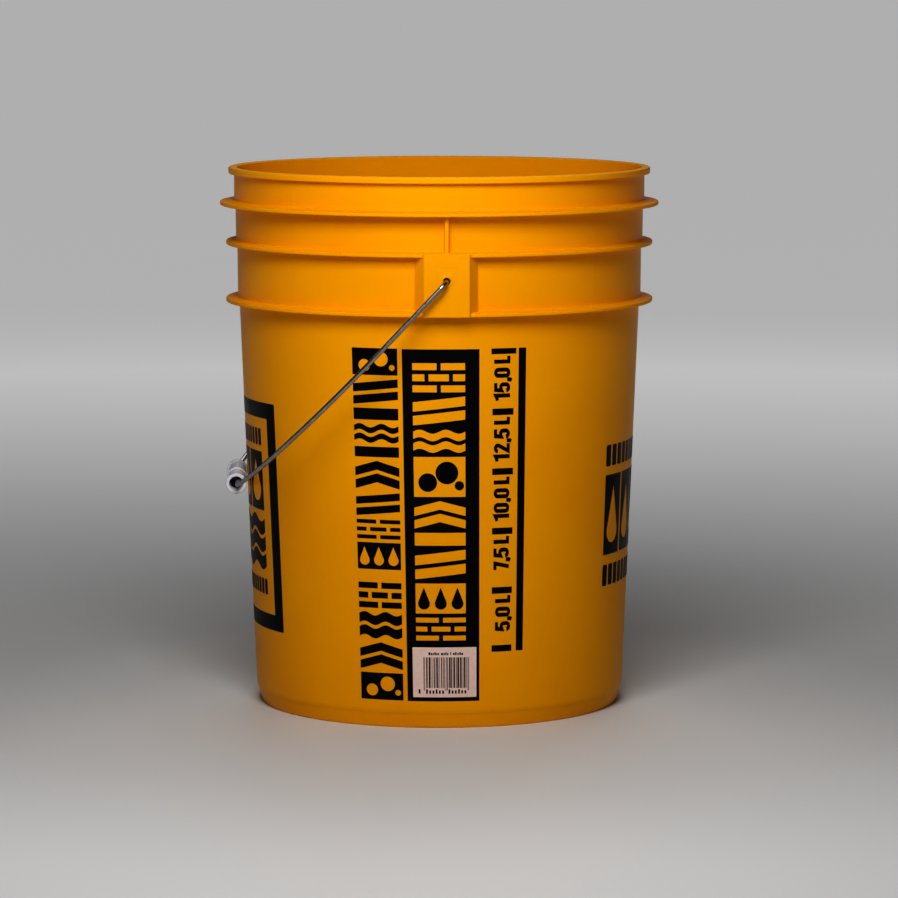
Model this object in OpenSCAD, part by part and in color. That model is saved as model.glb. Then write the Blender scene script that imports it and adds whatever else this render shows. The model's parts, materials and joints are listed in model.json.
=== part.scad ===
// Wash bucket of about 20 litres: a one-piece moulded pail, a wire bail with a roller grip,
// a barcode label and the printed decoration. Millimetres, +Z up. The origin is the centre of
// the base. The bail ears are on -Y and +Y, and the bail lies down against the wall on -X.

/* [Pail] */
// Height from the floor to the top of the rim
bucket_h = 380; // [372:1:386]
// Radius of the tapered wall, carried down to the floor
wall_r_base = 130; // [129:0.5:131]
// Taper of the wall, in degrees from upright
wall_taper = 2.31; // [2.1:0.01:2.4]
// Thickness of the wall
wall_t = 2.3; // [2:0.1:2.5]
// Inner radius of the mouth
mouth_r = 142.7; // [142.5:0.1:143.2]

/* [Rim and ribs] */
// Height of the rim bead
rim_h = 4.6; // [4:0.1:6]
// How far the rim bead stands out from the collar below it
rim_out = 4; // [3:0.5:5]
// How far the top, middle and bottom ribs stand out from that collar
rib_out = [10, 5.8, 6];
// Depth of each rib's underside below the top of the rim
rib_depth = [26.6, 54.3, 94.7];
// Thickness of a rib at its outer edge
rib_t = 2.6; // [2:0.1:3]

/* [Bail ears] */
// Depth of the bail holes below the top of the rim
pivot_depth = 70; // [68:0.5:72]
// Radius of a bail hole
hole_r = 2.4; // [2.3:0.05:2.6]
// Half width of an ear's flat face
ear_half = 15.4; // [15:0.1:17]
// Half width of an ear where it meets the wall
ear_root = 21.8; // [21:0.1:23]

/* [Bail and grip] */
// Radius of the bail wire
wire_r = 1.65; // [1.5:0.05:1.75]
// Distance from the bail's pivot to the centre of its big arc
bail_c = 60; // [57:1:62]
// Distance from the bail's pivot to the straight part inside the grip
bail_reach = 206.6; // [206:0.1:207.5]
// Length of the grip
grip_l = 84; // [76:1:90]
// Radius of the grip's end flanges
grip_r = 7.3; // [7:0.1:8]
// Radius of the grip's bore
grip_bore_r = 4.4; // [4.2:0.1:4.6]

/* [Decoration] */
// Thickness of the printed ink films
print_t = 0.1; // [0.05:0.05:0.15]
// Thickness of the barcode label
label_t = 0.15; // [0.1:0.05:0.2]

/* [Hidden] */
$fn = 96;

overlap = 1;                        // how far joined shapes run into each other
taper_slope = tan(wall_taper);
collar_r = mouth_r + wall_t;        // outer radius of the straight collar under the rim
rim_r = collar_r + rim_out;
step_in = 1.2;                      // the wall steps in by this much at each rib, going down
collar_draft = 0.3;
rib_z = [for (depth = rib_depth) bucket_h - depth];
rib_r = [for (out = rib_out) collar_r + out];
rib_edge_r = 0.7;
rib_root_extra = 0.8;               // a rib is this much thicker at the wall
rim_edge_r = 1.2;
land_z = rib_z[0] - 2;              // the straight inner wall of the mouth starts here
inner_step_h = 4;                   // height of each sloping step on the inside

foot_h = 14;                        // the wall tapers in more sharply over this height
foot_inset = 3.6;
foot_edge = 0.8;
foot_ring_t = 3;
floor_z = 7;
floor_t = 2.6;
corner_r = 5;                       // inside radius between wall and floor

pivot_z = bucket_h - pivot_depth;
ear_y = rib_r[2] + 0.8;
ear_face_t = 2.2;
ear_root_y = 140.6;
pocket_half = 13;
pocket_floor_y = 143.2;
pocket_top_z = pivot_z + 12;
lip_r = 3.9;                        // raised lip round a bail hole, on a wider pad
lip_out = 0.6;
pad_r = 5.5;
pad_out = 0.2;
gusset_t = 2.8;                     // upright rib above each ear
gusset_out = 4.3;

bail_arc_r = rib_r[0] + 3.5;
crown_fillet_r = 20;
outer_bend_r = 7;
inner_bend_r = 3;
outer_bend_y = ear_y - 0.8;
tail_y = ear_y - ear_face_t - 3;
tail_l = 9;
band_out = 0.04;                    // the bands where stretches of wire join
band_l = 0.5;
grip_axis_reach = bail_reach + 1.8; // the grip hangs on the wire, so the wire is off its middle
rest_gap = 0.45;                    // between the grip and the wall when the bail is down
rest_dip = wall_taper + acos(((wall_r_base + taper_slope * pivot_z) * cos(wall_taper)
                              + grip_r + rest_gap) / grip_axis_reach);
grip_waist_r = 5.9;
grip_ring_r = 6.9;
flange_w = 3;
ring_w = 6;
flare_out = 0.5;                    // the bore opens out this much at its ends, where the wire curves
flare_l = 4;

print_gap = 0.02;                   // keeps each film clear of the surface under it
cut_depth = 1;                      // a window is cut this far to both sides of a film
column_az = [-26.6, -13.35];        // azimuths are degrees from -Y towards +X
column_low_z = [19.6, 101.3];
column_low_cells = [1, 1, 1, 0.95];         // heights of the cells against each other
column_high_z = [110.6, 263.2];
column_high_cells = [1, 0.72, 0.87, 1.05, 0.38, 0.72, 0.43, 0.95, 1];
panel_az = [-12, 9.6];
panel_z = [19.4, 262.9];
window_az = [-9.2, 5.6];
window_z = [61.8, 253.6];
window_cells = [0.8, 1.05, 1.03, 0.45, 0.96, 1.38, 0.8, 1, 1];
cell_gap = 2.7;
label_az = [-10.35, 8.75];
label_z = [22.1, 57.1];
scale_az = [21.1, 23.3];
scale_z = [53.2, 263.1];
tick_az = [13.4, 19.6];
top_tick_az = [13.05, 20.3];        // the uppermost tick is longer
tick_h = 4.4;
tick_pitch = 41.22;
tick_count = 6;
side_mark_half = 32.5;              // half angle of the framed mark on -X
left_mark_z = [58, 218.6];
frame_bar_az = 4.6;
frame_bar_z = 11;
left_row_margin_az = 4.5;
left_rows = [[82.3, 93.4], [99.6, 138.6], [142, 183.5], [188, 199.9]];
right_mark_half = 34;
right_rows = [[90, 105], [112, 168.4], [174.6, 189.6]];

// Outer radius of the tapered wall at height z
function wall_r(z) = wall_r_base + z * taper_slope;

// Outline of the wall and floor, from the axis outwards
module shell_outline() {
    inner_foot_r = wall_r_base - foot_inset - foot_ring_t;
    corner = [wall_r(floor_z + corner_r) - wall_t - corner_r, floor_z + corner_r];
    polygon(concat(
        [[0, floor_z - floor_t], [inner_foot_r, floor_z - floor_t], [inner_foot_r, 0],
         [wall_r_base - foot_inset, 0], [wall_r_base - foot_inset + foot_edge / 2, foot_edge],
         [wall_r(foot_h), foot_h], [wall_r(rib_z[2] + overlap), rib_z[2] + overlap],
         [collar_r - 2 * step_in, rib_z[2] + overlap],
         [collar_r - 2 * step_in + collar_draft, rib_z[1] + overlap],
         [collar_r - step_in, rib_z[1] + overlap],
         [collar_r - step_in + collar_draft, rib_z[0] + overlap],
         [collar_r, rib_z[0] + overlap], [collar_r, bucket_h - rim_edge_r],
         [mouth_r, bucket_h - rim_edge_r], [mouth_r, land_z],
         [mouth_r - step_in, land_z - inner_step_h], [mouth_r - step_in, rib_z[1]],
         [mouth_r - 2 * step_in, rib_z[1] - inner_step_h], [mouth_r - 2 * step_in, rib_z[2]],
         [wall_r(rib_z[2] - inner_step_h) - wall_t, rib_z[2] - inner_step_h]],
        [for (a = [0 : -15 : -90]) corner + corner_r * [cos(a), sin(a)]],
        [[0, floor_z]]));
}

// Flange with rounded edges, rooted in the wall at its height
module rib_outline(i) {
    z = rib_z[i];
    r_out = rib_r[i];
    root_r = collar_r - i * step_in - overlap;
    polygon([[root_r, z], [r_out - rib_edge_r, z], [r_out, z + rib_edge_r],
             [r_out, z + rib_t - rib_edge_r], [r_out - rib_edge_r, z + rib_t],
             [root_r, z + rib_t + rib_root_extra]]);
    for (h = [rib_edge_r, rib_t - rib_edge_r])
        translate([r_out - rib_edge_r, z + h]) circle(r = rib_edge_r);
}

module rim_outline() {
    bead_z = bucket_h - rim_h;
    translate([mouth_r + rim_edge_r, bead_z])
        square([rim_out + wall_t - 2 * rim_edge_r, rim_h]);
    translate([collar_r - overlap, bead_z])
        square([rim_out + overlap, rim_h - rim_edge_r]);
    for (x = [mouth_r + rim_edge_r, rim_r - rim_edge_r])
        translate([x, bucket_h - rim_edge_r]) circle(r = rim_edge_r);
}

// Ear on -Y: a flat face with splayed sides, joined to the two lower ribs
module ear_solid() {
    translate([0, 0, rib_z[2]])
        linear_extrude(rib_z[1] + rib_t - rib_z[2])
            polygon([[-ear_root, -ear_root_y], [-ear_half, -ear_y],
                     [ear_half, -ear_y], [ear_root, -ear_root_y]]);
    translate([0, -ear_y + overlap, pivot_z]) rotate([90, 0, 0]) {
        cylinder(r = pad_r, h = overlap + pad_out);
        cylinder(r = lip_r, h = overlap + lip_out);
    }
    translate([-gusset_t / 2, -collar_r - gusset_out, rib_z[1] + overlap])
        cube([gusset_t, gusset_out + overlap, rib_z[0] - rib_z[1]]);
}

// Pocket behind the ear's face, open at the bottom, and the bail hole into it
module ear_hollow() {
    pocket_y = ear_y - ear_face_t;
    translate([-pocket_half, -pocket_y, rib_z[2] - overlap])
        cube([2 * pocket_half, pocket_y - pocket_floor_y, pocket_top_z - rib_z[2] + overlap]);
    translate([0, -pocket_y + overlap, pivot_z]) rotate([90, 0, 0])
        cylinder(r = hole_r, h = ear_face_t + lip_out + 2 * overlap);
}

module bucket_body() {
    color("#F5A60A") difference() {
        union() {
            rotate_extrude() union() {
                shell_outline();
                rim_outline();
                for (i = [0 : 2]) rib_outline(i);
            }
            for (turn = [0, 180]) rotate([0, 0, turn]) ear_solid();
        }
        for (turn = [0, 180]) rotate([0, 0, turn]) ear_hollow();
    }
}

// Straight wire of a given length from a point in the bail's plane, at an angle to its X
module wire_run(from, angle, length) {
    translate([from[0], from[1], 0]) rotate([0, 0, angle]) rotate([0, 90, 0])
        cylinder(r = wire_r, h = length);
}

module wire_bend(centre, bend_r, start, sweep) {
    translate([centre[0], centre[1], 0]) rotate([0, 0, start])
        rotate_extrude(angle = sweep) translate([bend_r, 0]) circle(r = wire_r);
}

// Slightly fatter band that joins two stretches of wire where they meet
module wire_band(at, angle) {
    translate([at[0], at[1], 0]) rotate([0, 0, angle]) rotate([0, 90, 0])
        cylinder(r = wire_r + band_out, h = band_l, center = true);
}

// One half of the bail, flat, with the pivot axis along Y and the crown on +X
module bail_half() {
    lean_arm = [bail_c - outer_bend_r, outer_bend_y];
    lean = atan2(lean_arm[0], lean_arm[1])
         - acos((bail_arc_r - outer_bend_r) / norm(lean_arm));
    leg_l = sqrt(pow(norm(lean_arm), 2) - pow(bail_arc_r - outer_bend_r, 2));
    leg_from = [outer_bend_r, outer_bend_y] + outer_bend_r * [-sin(lean), cos(lean)];
    leg_to = leg_from + leg_l * [cos(lean), sin(lean)];
    crown_x = bail_reach - crown_fillet_r;
    crown_y = sqrt(pow(bail_arc_r - crown_fillet_r, 2) - pow(crown_x - bail_c, 2));
    crown_turn = atan2(crown_y, crown_x - bail_c);
    crown_from = [bail_c, 0] + bail_arc_r * [cos(crown_turn), sin(crown_turn)];
    hole_y = tail_y + inner_bend_r;

    wire_run([inner_bend_r, tail_y], 0, tail_l - inner_bend_r);
    wire_bend([inner_bend_r, hole_y], inner_bend_r, 180, 90);
    wire_run([0, hole_y], 90, outer_bend_y - hole_y);
    wire_bend([outer_bend_r, outer_bend_y], outer_bend_r, 90 + lean, 90 - lean);
    wire_run(leg_from, lean, leg_l);
    wire_bend([bail_c, 0], bail_arc_r, crown_turn, 90 + lean - crown_turn);
    wire_bend([crown_x, crown_y], crown_fillet_r, 0, crown_turn);
    wire_run([bail_reach, 0], 90, crown_y);

    wire_band([inner_bend_r, tail_y], 0);
    wire_band([0, hole_y], 90);
    wire_band([0, outer_bend_y], 90);
    wire_band(leg_from, lean);
    wire_band(leg_to, lean);
    wire_band(crown_from, crown_turn + 90);
    wire_band([bail_reach, crown_y], 90);
    wire_band([bail_reach, 0], 90);
}

module bail_wire() {
    color("#C9CCD0") translate([0, 0, pivot_z]) rotate([0, 180 - rest_dip, 0])
        for (side = [0, 1]) mirror([0, side, 0]) bail_half();
}

// Half of the grip's outline, along its axis from the middle to one end
module grip_outline() {
    half_l = grip_l / 2;
    flare_r = grip_bore_r + flare_out;
    polygon([[grip_bore_r, 0], [grip_waist_r, 0], [grip_waist_r, half_l], [flare_r, half_l],
             [grip_bore_r, half_l - flare_l]]);
    translate([flare_r, half_l - flange_w])
        square([grip_r - flare_r - flange_w / 2, flange_w]);
    translate([grip_r - flange_w / 2, half_l - flange_w / 2]) circle(r = flange_w / 2);
    intersection() {
        translate([grip_ring_r - ring_w / 2, 0]) circle(r = ring_w / 2);
        translate([grip_bore_r, 0]) square([grip_r, ring_w]);
    }
}

module grip() {
    color("#EFEFF2") translate([0, 0, pivot_z]) rotate([0, 180 - rest_dip, 0])
        translate([grip_axis_reach, 0, 0]) rotate([90, 0, 0])
            rotate_extrude() for (side = [0, 1]) mirror([0, side]) grip_outline();
}

// Thin film that follows the tapered wall between two azimuths and two heights
module film(az, z, lift, thick) {
    rotate([0, 0, az[0] - 90]) rotate_extrude(angle = az[1] - az[0])
        polygon([[wall_r(z[0]) + lift, z[0]], [wall_r(z[0]) + lift + thick, z[0]],
                 [wall_r(z[1]) + lift + thick, z[1]], [wall_r(z[1]) + lift, z[1]]]);
}

module ink(az, z) film(az, z, print_gap, print_t);

function sum(v, n) = n == 0 ? 0 : v[n - 1] + sum(v, n - 1);

// A stack of cells between two heights, each as high as its share says
function cell_spans(z, cells) =
    let (n = len(cells), unit = (z[1] - z[0] - (n - 1) * cell_gap) / sum(cells, n))
    [for (i = [0 : n - 1])
        let (low = z[0] + sum(cells, i) * unit + i * cell_gap) [low, low + cells[i] * unit]];

module barcode_label() {
    color("#E9E3E4") film(label_az, label_z, 2 * print_gap + print_t, label_t);
}

module front_pattern_column() {
    color("#15130F") {
        for (span = cell_spans(column_low_z, column_low_cells)) ink(column_az, span);
        for (span = cell_spans(column_high_z, column_high_cells)) ink(column_az, span);
    }
}

module front_pattern_panel() {
    color("#15130F") difference() {
        ink(panel_az, panel_z);
        for (span = cell_spans(window_z, window_cells))
            film(window_az, span, -cut_depth, 2 * cut_depth);
    }
}

module volume_scale() {
    color("#15130F") {
        ink(scale_az, scale_z);
        for (i = [0 : tick_count - 2])
            let (low = scale_z[0] + i * tick_pitch) ink(tick_az, [low, low + tick_h]);
        ink(top_tick_az, [scale_z[1] - tick_h, scale_z[1]]);
    }
}

// Framed mark centred on -X
module left_side_mark() {
    az = [-90 - side_mark_half, -90 + side_mark_half];
    inner_az = az + frame_bar_az * [1, -1];
    inner_z = left_mark_z + frame_bar_z * [1, -1];
    color("#15130F") {
        difference() {
            ink(az, left_mark_z);
            film(inner_az, inner_z, -cut_depth, 2 * cut_depth);
        }
        for (row = left_rows) ink(inner_az + left_row_margin_az * [1, -1], row);
    }
}

// Mark of three rows centred on +X
module right_side_mark() {
    color("#15130F") for (row = right_rows) ink([90 - right_mark_half, 90 + right_mark_half], row);
}

bucket_body();
bail_wire();
grip();
barcode_label();
front_pattern_column();
front_pattern_panel();
volume_scale();
left_side_mark();
right_side_mark();
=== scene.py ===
import json
import math

import bmesh
import bpy
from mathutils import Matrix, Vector


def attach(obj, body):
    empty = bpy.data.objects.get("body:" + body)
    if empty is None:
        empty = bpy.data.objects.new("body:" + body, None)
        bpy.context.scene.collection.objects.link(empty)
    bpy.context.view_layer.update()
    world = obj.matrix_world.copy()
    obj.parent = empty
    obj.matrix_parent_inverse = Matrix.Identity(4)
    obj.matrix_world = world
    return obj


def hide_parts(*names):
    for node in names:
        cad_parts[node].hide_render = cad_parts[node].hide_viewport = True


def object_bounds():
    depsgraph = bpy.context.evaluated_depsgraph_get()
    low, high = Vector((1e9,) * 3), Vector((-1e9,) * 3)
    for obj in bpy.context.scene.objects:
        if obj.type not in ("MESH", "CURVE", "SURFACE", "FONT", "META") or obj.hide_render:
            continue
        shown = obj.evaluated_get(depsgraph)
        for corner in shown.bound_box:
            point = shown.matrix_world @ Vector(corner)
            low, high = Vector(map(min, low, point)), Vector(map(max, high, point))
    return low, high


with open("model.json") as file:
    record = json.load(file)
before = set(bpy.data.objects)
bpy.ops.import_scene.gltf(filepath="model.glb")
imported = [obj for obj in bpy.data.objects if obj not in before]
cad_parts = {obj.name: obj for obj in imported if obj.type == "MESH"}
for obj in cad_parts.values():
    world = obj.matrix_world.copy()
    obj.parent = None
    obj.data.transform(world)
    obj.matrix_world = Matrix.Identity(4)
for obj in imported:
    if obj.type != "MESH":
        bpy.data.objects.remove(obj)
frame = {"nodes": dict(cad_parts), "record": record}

cad_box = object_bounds()
MM = 0.001

# ---------------------------------------------------------------- sizes taken from the frame
MOUNTS = {m["name"]: m for m in frame["record"]["mounts"]}
JOINTS = {j["name"]: j for j in frame["record"]["behaviour"]["joints"]}
HEIGHT = cad_box[1].z / MM
MOUTH_R = MOUNTS["mouth"]["dims"]["r_mm"]
RIM_R = MOUNTS["rim_bead"]["dims"]["r_mm"]
PIVOT_Z = JOINTS["bail_swing"]["pos_m"][2] / MM
GRIP_X, GRIP_Z = (JOINTS["grip_spin"]["pos_m"][i] / MM for i in (0, 2))
GRIP_REACH = math.hypot(GRIP_X, PIVOT_Z - GRIP_Z)

# ---------------------------------------------------------------- sizes of the pail
WALL_R_BASE = 130.0
WALL_SLOPE = math.tan(math.radians(2.31))
WALL_T = 2.3
COLLAR_R = MOUTH_R + WALL_T
STEP_IN = 1.2
COLLAR_DRAFT = 0.3
RIB_Z = [HEIGHT - depth for depth in (94.7, 54.3, 26.6)]     # undersides, bottom rib first
RIB_R = [COLLAR_R + out for out in (6.0, 5.8, 10.0)]
RIB_T = 2.6
RIB_EDGE_R = 0.7
RIB_ROOT_EXTRA = 0.8
UNDER_FILLET, OVER_FILLET = 0.8, 1.2                        # where a rib meets the wall
RIM_H = 4.6
RIM_EDGE_R, RIM_UNDER_R = 1.2, 0.8
FOOT_H, FOOT_INSET, FOOT_RING_INSET = 14.0, 3.6, 6.6
FLOOR_Z, FLOOR_UNDER_Z = 7.0, 4.4
UNDER_RING_H = 0.45                                         # low rings under the floor
CORNER_R = 5.0

EAR_Y = RIB_R[0] + 0.8
EAR_HALF, EAR_ROOT, EAR_ROOT_Y = 15.4, 21.8, 140.6
EAR_CORNER_R = 1.2
EAR_EDGE_R = 0.6
FACE_HALF, FACE_STEP, FACE_SLOPE = 12.1, 0.07, 0.2          # the face stands out from its margins
EAR_TURN = math.atan2(EAR_Y - EAR_ROOT_Y, EAR_ROOT - EAR_HALF)  # angle of an ear's flanks
EAR_FLAT = EAR_HALF - EAR_CORNER_R * math.tan(EAR_TURN / 2)     # half width of its flat face
POCKET_HALF, POCKET_BACK_Y, POCKET_FRONT_Y = 13.0, 143.2, EAR_Y - 2.2
POCKET_TOP_Z = PIVOT_Z + 12
INSERT_HALF, INSERT_HALF_H, INSERT_GROOVE = 9.3, 8.4, 0.09  # the mould insert round a bail hole
LINE_EDGE = 0.15                                            # half the width of a moulding line
INNER_HALF, INNER_HALF_H = INSERT_HALF - LINE_EDGE, INSERT_HALF_H - LINE_EDGE
HOLE_R = 2.4
LIP_R, LIP_OUT, PAD_R, PAD_OUT = 3.9, 0.6, 5.5, 0.2         # raised lip and pad round a bail hole
GUSSET_HALF, GUSSET_Y = 1.4, COLLAR_R + 4.3
PARTING_LINE = 0.11                                         # height of the mould's parting lines
PARTING_AZ = (45.8, 134.2)                                  # and where they run, on each half turn
WALL_STEP_AZ = 1.5                                          # a column of the wall's mesh, in degrees
NEAR = 0.01                                                 # two places are the same within this

# ---------------------------------------------------------------- sizes of the bail and grip
WIRE_R = 1.65
BAIL_C = 60.0
BAIL_REACH = GRIP_REACH - 1.8
BAIL_ARC_R = RIB_R[2] + 3.5
CROWN_FILLET_R = 20.0
OUTER_BEND_R, INNER_BEND_R = 7.0, 3.0
OUTER_BEND_Y = EAR_Y - 0.8
TAIL_Y = POCKET_FRONT_Y - 3
TAIL_L = 9.0
GRIP_HALF = 42.0
GRIP_R, GRIP_WAIST_R, GRIP_RING_R, GRIP_BORE_R = 7.3, 5.9, 6.9, 4.4

# ---------------------------------------------------------------- sizes of the prints
PRINT_GAP, PRINT_T = 0.02, 0.1
LABEL_LIFT, LABEL_T = 0.14, 0.15
SLICE = 1.5                                                 # a film is cut this often, in degrees
PRINT_LEAN, PRINT_TRUE_Z = -0.0037, 162.0                   # degrees of azimuth per mm of height
BAR_LIFT, BAR_T = LABEL_LIFT + LABEL_T + 0.01, 0.02         # the label's own print

# ---------------------------------------------------------------- camera, light and floor
CAMERA_AT, CAMERA_AIM = (-103.28, -3064.77, 537.81), (0.03568, 0.99256, -0.11637)
CAMERA_LENS, CAMERA_SENSOR = 173.7, 36
# name, azimuth, elevation, then distance, width and height in metres, and power in watts
SOFTBOXES = [("key", -7, 38, 0.95, 0.4, 0.4, 4.4),
             ("back", 172, 40, 2.4, 1.4, 1.2, 7)]
WORLD_COLOUR, WORLD_STRENGTH = (0.9, 0.9, 0.92, 1), 0.03
FLOOR_R = 40.0                                              # metres
GLOW, GLOW_FROM, GLOW_TO = 0.33, 0.35, 2.4                  # the floor's own light, over metres


def wall_r(z):
    return WALL_R_BASE + z * WALL_SLOPE


def on_wall(az, z, lift=0.0):
    a, r = math.radians(az), wall_r(z) + lift
    return Vector((r * math.sin(a), -r * math.cos(a), z))


def arc(cx, cy, r, start, end, steps):
    """Points round a centre, from one angle to another."""
    angles = [math.radians(start + (end - start) * i / steps) for i in range(steps + 1)]
    return [(cx + r * math.cos(a), cy + r * math.sin(a)) for a in angles]


# ================================================================ mesh helpers
class Surface:
    """Patches of points in millimetres, welded into one mesh where they meet."""

    def __init__(self):
        self.points, self.faces = [], []

    def grid(self, rows, wrap=False, skip=None):
        first, n = len(self.points), len(rows[0])
        for row in rows:
            self.points.extend(row)
        for i in range(len(rows) - 1):
            for j in range(n if wrap else n - 1):
                if skip and skip(i, j):
                    continue
                a, b = first + i * n + j, first + i * n + (j + 1) % n
                self.faces.append((a, b, b + n, a + n))

    def film(self, bm, point_at, thick):
        """A thin solid over a flat mesh. point_at(az, z, lift) gives the place in space."""
        for layer in (0, 1):
            first = len(self.points)
            self.points.extend(point_at(v.co.x, v.co.y, layer * thick) for v in bm.verts)
            for f in bm.faces:
                self.faces.append([first + v.index for v in f.verts])
        n = len(bm.verts)
        for e in bm.edges:
            if len(e.link_faces) == 1:
                a, b = (first + v.index for v in e.verts)
                self.faces.append((a, b, b - n, a - n))

    def build(self, name, sharp=35, weld=1e-4):
        bm = bmesh.new()
        verts = [bm.verts.new(Vector(p) * MM) for p in self.points]
        for face in self.faces:
            bm.faces.new([verts[i] for i in face])
        bmesh.ops.remove_doubles(bm, verts=bm.verts, dist=weld * MM)
        bmesh.ops.dissolve_degenerate(bm, edges=bm.edges, dist=weld * MM)
        bmesh.ops.recalc_face_normals(bm, faces=bm.faces)
        for f in bm.faces:
            f.smooth = True
        for e in bm.edges:
            e.smooth = len(e.link_faces) == 2 and e.calc_face_angle(0) < math.radians(sharp)
        mesh = bpy.data.meshes.new(name)
        bm.to_mesh(mesh)
        bm.free()
        obj = bpy.data.objects.new(name, mesh)
        bpy.context.scene.collection.objects.link(obj)
        normals = obj.modifiers.new("normals", "WEIGHTED_NORMAL")
        normals.keep_sharp = True
        return obj


def finish_piece(obj, material, body, slot, *nodes):
    obj.data.materials.append(material)
    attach(obj, body)
    if nodes:
        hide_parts(*nodes)
    return obj


# ================================================================ pail
RIB_ROWS = 17                                               # rows in a rib's outline
TIP_ROW, TIP_STEPS = 5, 8                                   # its rounded edge: first row and steps
POCKET_ROW = TIP_ROW - 2                                    # the pocket opens between this and the next
WALL_ROWS, TOP_ROWS = 13, 4                                 # rows on the wall, and over the top rib


def rib_rows(i, below, above):
    """Outline of one rib, from the wall under it to the wall over it."""
    z, edge = RIB_Z[i], RIB_EDGE_R
    top = z + RIB_T + RIB_ROOT_EXTRA
    inner = (POCKET_BACK_Y, POCKET_FRONT_Y) if i == 0 else (below + 2, GUSSET_Y)
    rows = [(below, z - UNDER_FILLET), (below + 0.3 * UNDER_FILLET, z - 0.3 * UNDER_FILLET),
            (below + UNDER_FILLET, z), (inner[0], z), (inner[1], z)]
    if i == 1:
        rows[4] = (RIB_R[i] - RIB_T, z)
    half_tip = TIP_STEPS // 2
    rows += arc(RIB_R[i] - edge, z + edge, edge, -90, 0, half_tip)
    rows += arc(RIB_R[i] - edge, z + RIB_T - edge, edge, 0, 90, half_tip - 1)
    rows += [(above + OVER_FILLET, top - 0.1), (above + 0.3 * OVER_FILLET, top + 0.25),
             (above, top + OVER_FILLET)]
    return rows


# Heights of the rows between the lowest and the middle rib. The ear uses them too.
INSERT_Z = [PIVOT_Z - INSERT_HALF_H, PIVOT_Z + INSERT_HALF_H]
EAR_ROWS = ([291, 293.5, 296, 299]
            + [INSERT_Z[0] + d for d in (-LINE_EDGE, 0, LINE_EDGE)]
            + [PIVOT_Z + d for d in (-6.6, -5, -3.5, -2.2, -1.1, 0, 1.1, 2.2, 3.5, 5, 6.6)]
            + [INSERT_Z[1] + d for d in (-LINE_EDGE, 0, LINE_EDGE)]
            + [320.2, POCKET_TOP_Z])


def wall_rows(z0, z1, r0, r1, count):
    """Rows strictly between two heights on a straight wall."""
    steps = [(i + 1) / (count + 1) for i in range(count)]
    return [(r0 + (r1 - r0) * t, z0 + (z1 - z0) * t) for t in steps]


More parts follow.
